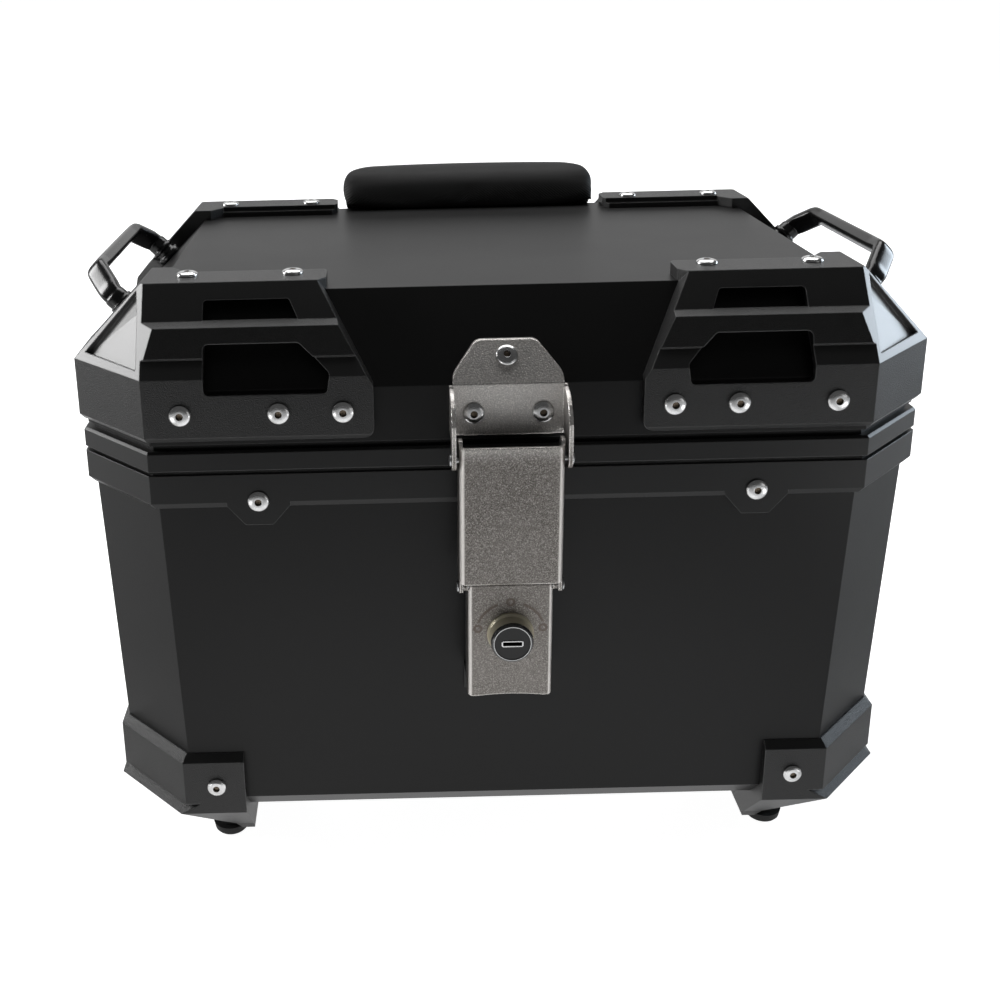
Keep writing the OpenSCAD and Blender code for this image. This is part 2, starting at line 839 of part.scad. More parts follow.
// Its lower edge runs behind the rail, which is added later
module guard_upper_window() {
    slab_xz(-200, -90)
        rounded(1.8) polygon([
            [149.5, 309], [149.5, 324.8], [107, 324.8], [98.8, 309]
        ]);
}

module corner_guard_form() color([0.08, 0.08, 0.085]) difference() {
    union() {
        difference() {
            intersection() {
                guard_form();
                union() {
                    slab_xz(-200, -panel_d) guard_front_area(0);
                    slab_yz(panel_w, 240) guard_side_area(0);
                    translate([0, 0, panel_z])
                        linear_extrude(10) guard_flange_area();
                }
            }
            guard_upper_window();
        }
        guard_rail();
    }
    lid_form();
    lid_neck(0, 240, band_low_z + 1);
    intersection() {
        guard_hollow();
        union() {
            slab_xz(-200, -panel_d - 2) guard_front_area(3);
            slab_yz(panel_w + 2, 240) guard_side_area(3);
        }
    }
    guard_lower_window();
    guard_facet_recess();
    // upper step of the flange's inner edge
    translate([80, -94, panel_z + 3.1])
        cube([84, 8, 10]);
    guard_band_rivet_places(-1) rivet_hole();
    guard_side_rivet_places() rivet_hole();
    guard_top_rivet_places() rivet_hole();
}

module corner_guard_front_left() { corner(-1, -1) corner_guard_form(); }
module corner_guard_front_right() { corner(1, -1) corner_guard_form(); }
module corner_guard_rear_left() { corner(-1, 1) corner_guard_form(); }
module corner_guard_rear_right() { corner(1, 1) corner_guard_form(); }

module guard_top_rivets() color([0.8, 0.8, 0.82])
    guard_top_rivet_places() rivet(rivet_r, 10);

module guard_front_rivets() color([0.8, 0.8, 0.82])
    guard_band_rivet_places(-1) rivet(rivet_r, 9);

module guard_rear_rivets() color([0.8, 0.8, 0.82])
    guard_band_rivet_places(1) rivet(rivet_r, 9);

module guard_side_rivets() color([0.8, 0.8, 0.82])
    guard_side_rivet_places() rivet(rivet_r, 9);

// Folded steel bracket on the lid that carries the latch arm between its ears
module latch_bracket() color([0.5, 0.49, 0.46]) difference() {
    plate_w = 27.2;
    ear_r = 5;
    union() {
        slab_xz(-lid_d - sheet, -lid_d)
            square_plate(plate_w, 259.6, crease_z + 0.5);
        intersection() {
            translate([0, -sheet * 0.75, sheet * 0.65]) lid_form();
            slab_xz(-170, -110)
                rounded(6) polygon([
                    [-plate_w, crease_z - 26], [plate_w, crease_z - 26], [plate_w, 289.8],
                    [15, 304], [-15, 304], [-plate_w, 289.8]
                ]);
        }
        both_sides()
            slab_yz(ear_x - sheet, ear_x)
                bracket_ear(ear_r);
        both_sides()
            slab_yz(plate_w - sheet, ear_x)
                polygon([
                    [-lid_d - sheet, 262], [-lid_d, 262], [-lid_d, 285], [-lid_d - sheet, 285]
                ]);
    }
    lid_form();
    facing_side(-40, arm_pivot_y, arm_pivot_z)
        cylinder(h = 80, r = pin_r, $fn = round_fn);
    bracket_rivet_places() rivet_hole();
}

// Outline of one ear: from the lid plate it curves forward and down to the pivot
module bracket_ear(r) {
    polygon(concat(
        [[-lid_d, 262], [-lid_d, 285]],
        [for (a = [0:15:75]) [-lid_d - sheet - 20 * sin(a), 266 + 18 * cos(a)]],
        [for (a = [180:20:340]) [arm_pivot_y + r * cos(a), arm_pivot_z + r * sin(a)]],
        [[-156.5, 260]]
    ));
}

module latch_bracket_rivets() color([0.8, 0.8, 0.82])
    bracket_rivet_places() rivet(rivet_r, 7);

// Pivot pins of the arm, riveted in the bracket's ears
module arm_pins() color([0.75, 0.75, 0.77])
    both_sides()
        facing_side(0, arm_pivot_y, arm_pivot_z) {
            translate([0, 0, arm_w - sheet - 1.4])
                cylinder(h = ear_x + 1.6 - arm_w + sheet, r = pin_r, $fn = round_fn);
            translate([0, 0, ear_x])
                screw(2.9, 1.5, pin_r, 0.5);
        }

module hinge_leaf_lid() color([0.1, 0.1, 0.105]) difference() {
    union() {
        slab_xz(trim_d + 0.2, trim_d + 2.6)
            rounded(4) square_plate(hinge_half, hinge_z + 2.5, 281);
        slab_xz(lid_d, trim_d + 0.4)
            square_plate(hinge_half - 2, band_low_z + 1, 279);
        slab_xz(trim_d + 0.2, trim_d + 2.6)
            square_plate(hinge_half, hinge_z + 2.5, hinge_z + 12);
        knuckles([0, 2, 4]);
        slab_xz(trim_d + 0.2, hinge_y)
            square_plate(hinge_half, hinge_z + 2.2, hinge_z + knuckle_r);
    }
    knuckle_gaps([1, 3]);
    hinge_bore(hinge_pin_r + pin_gap);
    hinge_lid_rivet_places() rivet_hole();
}

module hinge_lid_rivets() color([0.75, 0.75, 0.77])
    hinge_lid_rivet_places() rivet(4.6, 9);

// Frame of the lid's rear slope: Y along the slope (up), Z out of it, origin at the panel's edge
module on_rear_slope() {
    translate([0, panel_d, panel_z])
        rotate([-lid_slope, 0, 0])
            children();
}

// Outline of the backrest in the plane of the slope, from s0 to s1 below the panel's edge
module backrest_outline(s0, s1, top_half, low_half, r) {
    turn = min(s0 + 22, (s0 + s1) / 2);
    rounded(r) polygon([
        [-top_half, s0], [-top_half, turn], [-low_half, s1],
        [low_half, s1], [top_half, turn], [top_half, s0]
    ]);
}

board_t = 4;
screw_seat_gap = 0.15;
module backrest_board() color([0.05, 0.05, 0.05]) difference() {
    on_rear_slope()
        translate([0, 0, 0.2])
            linear_extrude(board_t)
                backrest_outline(2, pad_h - 14, 72, 50, 6);
    backrest_screw_places()
        translate([0, 0, -1])
            cylinder(h = 12, r = 2.4, $fn = round_fn);
}

// Pad over the board, its upper end standing over the edge of the top panel
module backrest_pad() color([0.04, 0.04, 0.045]) difference() {
    low = pad_h - 12;
    // height above the slope, start, end, upper and lower half width, corner radius
    layers = [
        [-7, -10, 0, pad_w - 2.5, pad_w - 4, 3],
        [4, -14, low - 1, pad_w - 0.8, 61, 9],
        [14, -15, low, pad_w, 62, 10],
        [24, -12, low - 1, pad_w - 2, 61, 10],
        [34, -3, low - 2, pad_w - 9, 57, 10],
        [44, 9, low - 5.5, pad_w - 20, 50, 9]
    ];
    on_rear_slope() hull()
        for (l = layers)
            translate([0, 0, l[0]])
                linear_extrude(1) backrest_outline(l[1], l[2], l[3], l[4], l[5]);
    translate([0, 0.3, 0.3]) lid_form();
    on_rear_slope()
        translate([0, 0, -0.4])
            linear_extrude(board_t + 0.8)
                backrest_outline(1.6, pad_h - 13.6, 72.4, 50.4, 6);
}

// Screws from inside the lid into the backrest board
// The heads sit on the inside of the skin, which is a little thicker low on the slope
module backrest_screws() color([0.7, 0.7, 0.72])
    backrest_screw_places()
        rotate([180, 0, 0])
            translate([0, 0, wall + screw_seat_gap])
                screw(5.5, 2.6, 2.3, wall + 4);

// Frame of a carry handle: X down the sloping side, Y along the case, Z out of the slope
module at_handle() {
    translate([handle_x, 0, handle_z])
        rotate([0, handle_tilt, 0])
            children();
}

// Outline of the arched grip, in Y and height
module handle_arch() {
    foot = handle_foot_y;
    grip = handle_grip_y;
    bar = 7.5;
    rounded(3) polygon([
        [-foot - 6.5, 3], [-foot - 5.5, 8], [-grip - 4, handle_rise], [grip + 4, handle_rise],
        [foot + 5.5, 8], [foot + 6.5, 3], [foot - 6.5, 3], [foot - 8, 7],
        [grip - 2, handle_rise - bar], [-grip + 2, handle_rise - bar], [-foot + 8, 7], [-foot + 6.5, 3]
    ]);
}

module handle_form() color([0.05, 0.05, 0.055]) difference() {
    at_handle() difference() {
        union() {
            slab_yz(-handle_width / 2, handle_width / 2) handle_arch();
            for (y = [-handle_foot_y, handle_foot_y])
                translate([0, y, -9]) {
                    cylinder(h = 5, r = 8.2, $fn = round_fn);
                    cylinder(h = 15.5, r = 6.4, $fn = round_fn);
                }
        }
        for (y = [-handle_foot_y, handle_foot_y])
            translate([0, y, -10])
                cylinder(h = 13, r = 2.4, $fn = round_fn);
    }
    lid_form();
}

module handle_left() { mirror([1, 0, 0]) handle_form(); }
module handle_right() { handle_form(); }

// Bolts from inside the lid into the handles' feet
module handle_screws() color([0.7, 0.7, 0.72])
    handle_screw_places()
        rotate([180, 0, 0])
            translate([0, 0, 10.6])
                screw(5.5, 2.6, 2.35, 10.6);

module stay_anchor_lid_at(side) color([0.7, 0.7, 0.72])
    mirror([side < 0 ? 1 : 0, 0, 0])
        translate([lid_w - wall, 20, 272])
            stay_anchor(0);

module stay_anchor_lid_left() { stay_anchor_lid_at(-1); }
module stay_anchor_lid_right() { stay_anchor_lid_at(1); }

// ---------------------------------------------------------------- latch

// Upright channel, open towards the case, its two front bends rounded
module channel(half, front, back, bend, z0, z1) {
    inner = bend - sheet;
    translate([0, 0, z0])
        linear_extrude(z1 - z0)
            difference() {
                union() {
                    translate([-half, front + bend])
                        square([2 * half, back - front - bend]);
                    translate([-half + bend, front])
                        square([2 * half - 2 * bend, bend + 1]);
                    for (x = [-half + bend, half - bend])
                        translate([x, front + bend]) circle(r = bend, $fn = round_fn);
                }
                translate([-half + sheet, front + bend])
                    square([2 * half - 2 * sheet, back - front]);
                translate([-half + bend, front + sheet])
                    square([2 * half - 2 * bend, bend]);
                for (x = [-half + bend, half - bend])
                    translate([x, front + bend]) circle(r = inner, $fn = round_fn);
            }
}

// Arm: a channel that hangs from the bracket and carries the flap between its lugs
module latch_arm() color([0.52, 0.5, 0.47]) difference() {
    bottom = flap_pivot_z + 2.7;
    top = 259.6;
    back_y = -155.6;
    intersection() {
        union() {
            channel(arm_w, arm_front_y, back_y, 4, bottom, top);
            difference() {
                channel(arm_w, arm_front_y, back_y, 4, bottom - 12, top + 8);
                slab_yz(-arm_w + sheet + 0.02, arm_w - sheet - 0.02)
                    square([2 * big, 4 * big], center = true);
                slab_xz(arm_front_y - 1, arm_front_y + sheet)
                    square([2 * big, 4 * big], center = true);
            }
        }
        slab_yz(-arm_w - 1, arm_w + 1)
            arm_cheek(bottom, top, back_y);
    }
    facing_side(-40, arm_pivot_y, arm_pivot_z)
        cylinder(h = 80, r = pin_r + pin_gap, $fn = round_fn);
    facing_side(-40, flap_pivot_y, flap_pivot_z)
        cylinder(h = 80, r = pin_r, $fn = round_fn);
}

// Side view of the arm: round lug at the flap's pivot, raised shoulder at the arm's pivot
module arm_cheek(bottom, top, back_y) {
    lug = 3.4;
    polygon(concat(
        [[arm_front_y - 1, bottom], [arm_front_y - 1, top], [-166, top], [-164.5, top + 3]],
        [[-160, top + 3], [back_y, top - 2], [back_y, bottom + 6], [flap_pivot_y + lug, bottom + 1]],
        [for (a = [0:-20:-160]) [flap_pivot_y + lug * cos(a), flap_pivot_z + lug * sin(a)]],
        [[flap_pivot_y - lug, bottom]]
    ));
}

// Pins of the flap, riveted in the arm's sides
module flap_pins() color([0.75, 0.75, 0.77])
    both_sides()
        facing_side(0, flap_pivot_y, flap_pivot_z) {
            translate([0, 0, flap_w - sheet - 1.4])
                cylinder(h = arm_w - flap_w + sheet + 1.8, r = pin_r, $fn = round_fn);
            translate([0, 0, arm_w])
                screw(2.7, 1.3, pin_r, 0.5);
        }

// Flap: a narrower channel with the lock through its face
module latch_flap() color([0.52, 0.5, 0.47]) difference() {
    top = flap_pivot_z + 1;
    bottom = 123.2;
    back_y = -155.1;
    edge_r = 145;
    union() {
        intersection() {
            channel(flap_w, flap_front_y, back_y, 3, bottom, flap_pivot_z + 3);
            slab_yz(-flap_w - 1, flap_w + 1)
                polygon(concat(
                    [[flap_front_y - 1, bottom - 1], [flap_front_y - 1, top], [flap_front_y + 1.6, top]],
                    [for (a = [140:-20:-30])
                        [flap_pivot_y + 2.4 * cos(a), flap_pivot_z + 2.4 * sin(a)]],
                    [[back_y, flap_pivot_z - 8], [back_y, bottom + 4], [back_y - 3, bottom - 1]]
                ));
        }
        both_sides()
            facing_side(flap_w - 0.1, flap_pivot_y, flap_pivot_z)
                cylinder(h = arm_w - sheet - flap_w - clearance + 0.1, r = 2.3, $fn = round_fn);
    }
    // hollowed lower edge
    facing_front(0, -150, bottom + 1 - edge_r)
        cylinder(h = 40, r = edge_r, $fn = 180);
    facing_side(-40, flap_pivot_y, flap_pivot_z)
        cylinder(h = 80, r = pin_r + pin_gap, $fn = round_fn);
    facing_front(0, -150, lock_z)
        cylinder(h = 40, r = 8.6, $fn = round_fn);
}

// Lock body: bezel in front of the flap, threaded barrel behind it
module lock_housing() color([0.72, 0.68, 0.6])
    facing_front(0, 0, lock_z)
        difference() {
            rotate_extrude($fn = 64)
                polygon([
                    [5, 155.2], [8.5, 155.2], [8.5, 165.3], [11.8, 165.3], [11.8, 166.5],
                    [11, 168], [10.6, 174.2], [10.2, 175.2], [9.6, 175.7], [8.9, 175.7], [8.9, 174.4],
                    [5, 174.4]
                ]);
            translate([0, 0, 150])
                cylinder(h = 40, r = 5 + pin_gap, $fn = 64);
            translate([0, 0, 174.4])
                cylinder(h = 5, r = 8.9 + pin_gap, $fn = 64);
        }

module lock_nut() color([0.7, 0.7, 0.72])
    facing_front(0, 0, lock_z)
        translate([0, 0, 159.7])
            difference() {
                cylinder(h = 3.6, r = 13, $fn = 6);
                translate([0, 0, -1])
                    cylinder(h = 6, r = 8.5, $fn = 64);
            }

// Plug: keyed face in front, spindle to the cam behind
module lock_plug() color([0.1, 0.1, 0.1])
    facing_front(0, 0, lock_z)
        difference() {
            union() {
                translate([0, 0, 154.2])
                    cylinder(h = 20.6, r = 5, $fn = 64);
                translate([0, 0, 174.5])
                    cylinder(h = 0.8, r = 8.85, $fn = 64);
                translate([0, 0, 145.6])
                    cylinder(h = 9, r = 2.9, $fn = 48);
            }
            translate([-4.8, -1, 168])
                cube([9.6, 2, 12]);
        }

// Cam: hangs down when unlocked, turns behind the strike's edge when locked
module lock_cam() color([0.65, 0.64, 0.6])
    facing_front(0, 0, lock_z)
        translate([0, 0, -cam_y - 1.2])
            difference() {
                union() {
                    cylinder(h = 2.4, r = 5.2, $fn = round_fn);
                    translate([-4.6, -16, 0])
                        cube([9.2, 16, 2.4]);
                }
                translate([0, 0, -1])
                    cylinder(h = 5, r = 2.9, $fn = 48);
            }

module cam_nut() color([0.75, 0.75, 0.77])
    facing_front(0, 0, lock_z)
        translate([0, 0, 145.4])
            difference() {
                cylinder(h = 2.2, r = 4.6, $fn = 6);
                translate([0, 0, -1])
                    cylinder(h = 6, r = 2.9, $fn = 48);
            }

// ---------------------------------------------------------------- what is drawn

body_shell();
body_trim();
rim_gasket();
floor_plate();
floor_mat();
foot_guard_front_left();
foot_guard_front_right();
foot_guard_rear_left();
foot_guard_rear_right();
rubber_foot_front_left();
rubber_foot_front_right();
rubber_foot_rear_left();
rubber_foot_rear_right();
foot_guard_rivets();
foot_screws();
trim_rivets();
latch_strike();
strike_rivets();
hinge_leaf_body();
hinge_body_rivets();
hinge_pin();
stay_anchor_body_left();
stay_anchor_body_right();
lid_shell();
lid_trim();
corner_guard_front_left();
corner_guard_front_right();
corner_guard_rear_left();
corner_guard_rear_right();
guard_top_rivets();
guard_front_rivets();
guard_rear_rivets();
guard_side_rivets();
latch_bracket();
latch_bracket_rivets();
arm_pins();
hinge_leaf_lid();
hinge_lid_rivets();
backrest_board();
backrest_pad();
backrest_screws();
handle_left();
handle_right();
handle_screws();
stay_anchor_lid_left();
stay_anchor_lid_right();
latch_arm();
flap_pins();
latch_flap();
lock_housing();
lock_nut();
lock_plug();
lock_cam();
cam_nut();
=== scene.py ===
"""Looks of a hard top case: finishes for its metal and moulded parts, the padded backrest, the
moulded carry handles, a pale studio floor, soft lights and the camera."""
import json
import math

import bmesh
import bpy
import numpy as np
from mathutils import Matrix, Vector


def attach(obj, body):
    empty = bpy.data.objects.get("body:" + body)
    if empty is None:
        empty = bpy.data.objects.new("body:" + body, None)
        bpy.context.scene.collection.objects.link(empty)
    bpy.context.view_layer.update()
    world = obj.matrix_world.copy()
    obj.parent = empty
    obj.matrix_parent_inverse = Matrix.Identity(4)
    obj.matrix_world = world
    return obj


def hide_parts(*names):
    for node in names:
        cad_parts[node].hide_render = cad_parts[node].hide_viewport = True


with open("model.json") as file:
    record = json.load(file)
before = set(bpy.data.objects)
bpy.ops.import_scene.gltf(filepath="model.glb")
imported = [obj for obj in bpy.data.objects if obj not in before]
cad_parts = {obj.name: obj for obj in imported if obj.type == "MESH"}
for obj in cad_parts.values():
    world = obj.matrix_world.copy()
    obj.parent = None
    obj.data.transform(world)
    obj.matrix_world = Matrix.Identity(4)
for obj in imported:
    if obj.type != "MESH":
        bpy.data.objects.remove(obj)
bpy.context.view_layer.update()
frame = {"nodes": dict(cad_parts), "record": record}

MM = 0.001

# heights and half sizes of the case in millimetres, as in its CAD source
LOCK_Z = 158.8
CREASE_Z, LID_DEPTH = 285.2, 146.2
PANEL_Z, PANEL_DEPTH = 326.5, 112
BREAK_Z, GUARD_TOP_Z, GUARD_WIDTH = 292.2, 332.6, 220
LID_SLOPE = math.atan((PANEL_Z - CREASE_Z) / (LID_DEPTH - PANEL_DEPTH))

# directions that a corner facet and a front slope face, folded into positive X and Y
FACET = (0.6156, 0.6156, 0.4919)
FRONT_SLOPE = (0, 0.76, 0.65)
# the direction the latch's side bends face, where their painted highlight goes
BEND = (0.7, 0.7, 0)


# ------------------------------------------------------------------ shader arithmetic

class Value:
    """A number in a finish's node tree, written as ordinary arithmetic."""

    def __init__(self, finish, socket):
        self.finish = finish
        self.socket = socket

    def _math(self, operation, *terms):
        return self.finish.make("ShaderNodeMath", {"operation": operation}, *terms)

    def __add__(self, other): return self._math("ADD", self, other)
    def __radd__(self, other): return self._math("ADD", other, self)
    def __sub__(self, other): return self._math("SUBTRACT", self, other)
    def __rsub__(self, other): return self._math("SUBTRACT", other, self)
    def __mul__(self, other): return self._math("MULTIPLY", self, other)
    def __rmul__(self, other): return self._math("MULTIPLY", other, self)
    def __truediv__(self, other): return self._math("DIVIDE", self, other)
    def __pow__(self, other): return self._math("POWER", self, other)

    def most(self, other): return self._math("MAXIMUM", self, other)
    def size(self): return self._math("ABSOLUTE", self)
    def wave(self): return self._math("SINE", self)

    def between(self, low, high):
        """0 below low, 1 above high, and a smooth step between them."""
        return self.finish.make(
            "ShaderNodeMapRange", {"interpolation_type": "SMOOTHSTEP"},
            Value=self, From_Min=low, From_Max=high)


class Finish:
    """One procedural material: a Principled surface, and the nodes that vary it."""

    def __init__(self, name, **fixed):
        self.material = bpy.data.materials.new(name)
        self.material.use_nodes = True
        self.tree = self.material.node_tree
        self.surface = next(n for n in self.tree.nodes if n.type == "BSDF_PRINCIPLED")
        for socket, value in fixed.items():
            self.surface.inputs[socket.replace("_", " ")].default_value = value

    def make(self, kind, settings=None, *terms, take=0, **inputs):
        """Adds a node: its settings, then its sockets in order or by name; returns one output."""
        node = self.tree.nodes.new(kind)
        for key, value in (settings or {}).items():
            setattr(node, key, value)
        pairs = list(zip(node.inputs, terms))
        pairs += [(node.inputs[key.replace("_", " ")], value) for key, value in inputs.items()]
        for socket, value in pairs:
            if isinstance(value, Value):
                self.tree.links.new(value.socket, socket)
            else:
                socket.default_value = value
        return Value(self, node.outputs[take])

    def vary(self, **inputs):
        """Links values to the surface's own sockets."""
        for key, value in inputs.items():
            self.tree.links.new(value.socket, self.surface.inputs[key.replace("_", " ")])

    def place(self):
        return self.make("ShaderNodeTexCoord", take="Object")

    def along(self, vector):
        """The three parts of a vector, as numbers."""
        parts = self.make("ShaderNodeSeparateXYZ", None, vector).socket.node
        return [Value(self, out) for out in parts.outputs]

    def noise(self, scale, detail=3.0, rough=0.55):
        return self.make("ShaderNodeTexNoise", None, Vector=self.place(),
                         Scale=scale, Detail=detail, Roughness=rough)

    def cells(self, scale):
        return self.make("ShaderNodeTexVoronoi", {"feature": "F1"}, Vector=self.place(),
                         Scale=scale, Randomness=1.0)

    def blend(self, amount, one, two):
        """Colour one where amount is 0, colour two where it is 1."""
        node = self.tree.nodes.new("ShaderNodeMix")
        node.data_type = "RGBA"
        for index, value in ((0, amount), (6, one), (7, two)):
            if isinstance(value, Value):
                self.tree.links.new(value.socket, node.inputs[index])
            else:
                node.inputs[index].default_value = value
        return Value(self, node.outputs[2])

    def soft_edge(self, radius):
        """The surface's direction with its edges rounded by that radius."""
        return self.make("ShaderNodeBevel", {"samples": 6}, Radius=radius)

    def edge_wear_and_highlight(self, rounded, low=0.02, high=0.16):
        """1 along sharp edges: where the rounded direction leaves the true one."""
        true = self.make("ShaderNodeNewGeometry", take="Normal")
        same = self.make("ShaderNodeVectorMath", {"operation": "DOT_PRODUCT"}, rounded, true,
                         take="Value")
        return (1 - same).between(low, high)

    def facing(self, direction, low, high):
        """1 where the true surface faces along the direction or its mirror images in X and Y."""
        true = self.make("ShaderNodeTexCoord", take="Normal")
        folded = self.make("ShaderNodeVectorMath", {"operation": "ABSOLUTE"}, true)
        return self.make("ShaderNodeVectorMath", {"operation": "DOT_PRODUCT"}, folded, direction,
                         take="Value").between(low, high)

    def relief(self, height, depth, rounded=None):
        """Bump of that depth in metres, over the rounded direction if there is one."""
        node_inputs = dict(Height=height, Distance=depth, Strength=1.0)
        if rounded is not None:
            node_inputs["Normal"] = rounded
        return self.make("ShaderNodeBump", None, **node_inputs)


def grey(level, warm=0.0):
    return (level * (1 + warm), level, level * (1 - warm), 1.0)


# ------------------------------------------------------------------ finishes

def powder_coat(name, level, rough, edge_light, radius=0.7 * MM, peel=0.012 * MM, shine=0.42):
    """Satin black coat on sheet metal: fine orange peel, faint dust, and a painted highlight with a
    little wear along its bends and edges.
    """
    f = Finish(name, Specular_IOR_Level=shine)
    rounded = f.soft_edge(radius)
    edge = f.edge_wear_and_highlight(rounded)
    cloud = f.noise(9.0, 3.0)
    grain = f.noise(1900.0, 2.0, 0.6)
    dust = f.noise(430.0, 4.0, 0.7).between(0.66, 0.80)
    base = f.blend(cloud.between(0.3, 0.7), grey(level * 0.85), grey(level * 1.15))
    base = f.blend(dust * 0.35, base, grey(level * 3.0))
    # edges and bends painted paler: a painted highlight, with a little wear
    base = f.blend(edge * edge_light, base, grey(0.10))
    f.vary(Base_Color=base,
           Roughness=rough + (cloud - 0.5) * 0.10 + (grain - 0.5) * 0.06 - edge * 0.08,
           Normal=f.relief(grain + f.noise(520.0, 1.0) * 1.5, peel, rounded))
    return f.material


def moulded_texture(name, level, rough):
    """Spark-textured black moulding with small beads, their tops painted paler as a painted glint,
    and scuffed corners with a painted highlight along the edges. Its slanted corner facets are
    smooth, a little polished, and painted light grey as a painted reflection."""
    f = Finish(name, Specular_IOR_Level=0.5)
    rounded = f.soft_edge(1.0 * MM)
    edge = f.edge_wear_and_highlight(rounded)
    facet = f.facing(FACET, 0.955, 0.975)
    slope = f.facing(FRONT_SLOPE, 0.985, 0.995)
    plain = 1 - (facet * 0.97).most(slope * 0.75)
    bead = f.cells(1700.0)
    grit = f.noise(3100.0, 2.0, 0.65)
    cloud = f.noise(14.0, 3.0)
    scuff = f.noise(60.0, 6.0, 0.75).between(0.58, 0.75)
    base = f.blend(cloud, grey(level * 0.8), grey(level * 1.2))
    # bead tops painted paler: a painted glint
    base = f.blend((1 - bead * 2.2).between(0.2, 0.9) * 0.6 * plain, base, grey(level * 4.5, 0.05))
    # edges painted paler: a painted highlight, broken up by real scuffs
    base = f.blend(edge * (0.45 + scuff * 0.5), base, grey(0.26))
    # corner facets painted light grey: a painted reflection
    base = f.blend(facet, base, f.blend(grit, grey(0.13), grey(0.19)))
    f.vary(Base_Color=base,
           Roughness=rough + (grit - 0.5) * 0.2 * plain + (cloud - 0.5) * 0.08 - facet * 0.12,
           Normal=f.relief((bead * -1.0 + grit * 0.7) * plain, 0.15 * MM, rounded))
    return f.material


def blasted_steel(name, level, rough):
    """Bead-blasted steel: fine dark and warm speckle, a painted highlight on its bends and edges,
    painted shade on the parts below the bracket and painted light on the bracket, and faint brown
    marks etched round the lock: rings at its sides and over it, with arcs between them."""
    f = Finish(name, Metallic=1.0)
    rounded = f.soft_edge(1.1 * MM)
    edge = f.edge_wear_and_highlight(rounded, 0.01, 0.12)
    speck = f.noise(2300.0, 2.0, 0.6)
    coarse = f.cells(1150.0)
    cloud = f.noise(26.0, 3.0)
    base = f.blend(speck.between(0.38, 0.64), grey(level * 0.12, 0.06), grey(level * 1.5, 0.05))
    base = f.blend(coarse.between(0.2, 0.75) * 0.6, base, grey(level * 0.18, 0.10))
    base = f.blend(cloud.between(0.3, 0.8) * 0.4, base, grey(level * 0.7, 0.05))
    base = f.blend(etched_marks(f) * speck.between(0.3, 0.5) * 0.75, base, (0.13, 0.065, 0.04, 1))
    # below 250 to 268 mm the steel is painted darker as painted shade, above it paler as painted
    # light
    low = 1 - f.along(f.place())[2].between(250 * MM, 268 * MM)
    base = f.blend(low * 0.62, base, grey(level * 0.16, 0.10))
    base = f.blend((1 - low) * 0.45, base, grey(0.95, 0.03))
    # bends and edges painted near white: a painted highlight
    bend = f.facing(BEND, 0.84, 0.97)
    base = f.blend(edge.most(bend * 0.8), base, grey(0.90, 0.04))
    f.vary(Base_Color=base,
           Roughness=rough + (speck - 0.5) * 0.3 - edge * 0.2,
           Normal=f.relief(speck - coarse, 0.11 * MM, rounded))
    return f.material


def etched_marks(f):
    """1 on the marks of the flap's face: three small rings and two arcs about the lock's axis."""
    x, y, z = f.along(f.place())
    z = z - LOCK_Z * MM
    ring_r, line = 1.7 * MM, 0.45 * MM

    def ring(x0, z0):
        away = ((x - x0 * MM) ** 2 + (z - z0 * MM) ** 2) ** 0.5
        return 1 - (away - ring_r).size().between(line, line * 1.8)

    away = (x * x + z * z) ** 0.5
    arc = (1 - (away - 17.4 * MM).size().between(line, line * 2)) \
        * x.size().between(6 * MM, 7 * MM) * z.between(6 * MM, 7 * MM)
    marks = ring(0, 17.6).most(ring(-16.4, 3)).most(ring(16.4, 3)).most(arc)
    return marks * (1 - y.between(-165.2 * MM, -165.1 * MM)) * (1 - z.between(24 * MM, 25 * MM))


def bright_metal(name, colour, rough, radius=0.35 * MM, scratch=0.12):
    """Bright turned or drawn metal with fine handling marks."""
    f = Finish(name, Metallic=1.0)
    rounded = f.soft_edge(radius)
    cloud = f.noise(160.0, 4.0, 0.7)
    mark = f.noise(2200.0, 2.0)
    base = f.blend(cloud.between(0.35, 0.75), colour, tuple(c * 0.72 for c in colour[:3]) + (1,))
    f.vary(Base_Color=base,
           Roughness=rough + (mark - 0.5) * scratch + (cloud - 0.5) * 0.12,
           Normal=f.relief(mark + cloud, 0.01 * MM, rounded))
    return f.material


def soft_rubber(name, level, rough):
    """Matte rubber with a slight bloom."""
    f = Finish(name, Specular_IOR_Level=0.4)
    cloud = f.noise(60.0, 4.0, 0.65)
    grit = f.noise(2400.0, 2.0)
    base = f.blend(cloud.between(0.4, 0.75), grey(level), grey(level * 2.2))
    f.vary(Base_Color=base, Roughness=rough + (cloud - 0.5) * 0.15,
           Normal=f.relief(grit, 0.05 * MM))
    return f.material


def gloss_moulding(name, level, rough):
    """Glossy black moulding with a faint flow pattern and worn high spots."""
    f = Finish(name, Specular_IOR_Level=0.6)
    rounded = f.soft_edge(1.2 * MM)
    cloud = f.noise(48.0, 3.0)
    scuff = f.noise(420.0, 5.0, 0.75).between(0.6, 0.78)
    base = f.blend(scuff * 0.5, grey(level), grey(level * 4))
    f.vary(Base_Color=base, Roughness=rough + scuff * 0.22 + (cloud - 0.5) * 0.06,
           Normal=f.relief(f.noise(900.0, 2.0) + cloud, 0.012 * MM, rounded))
    return f.material


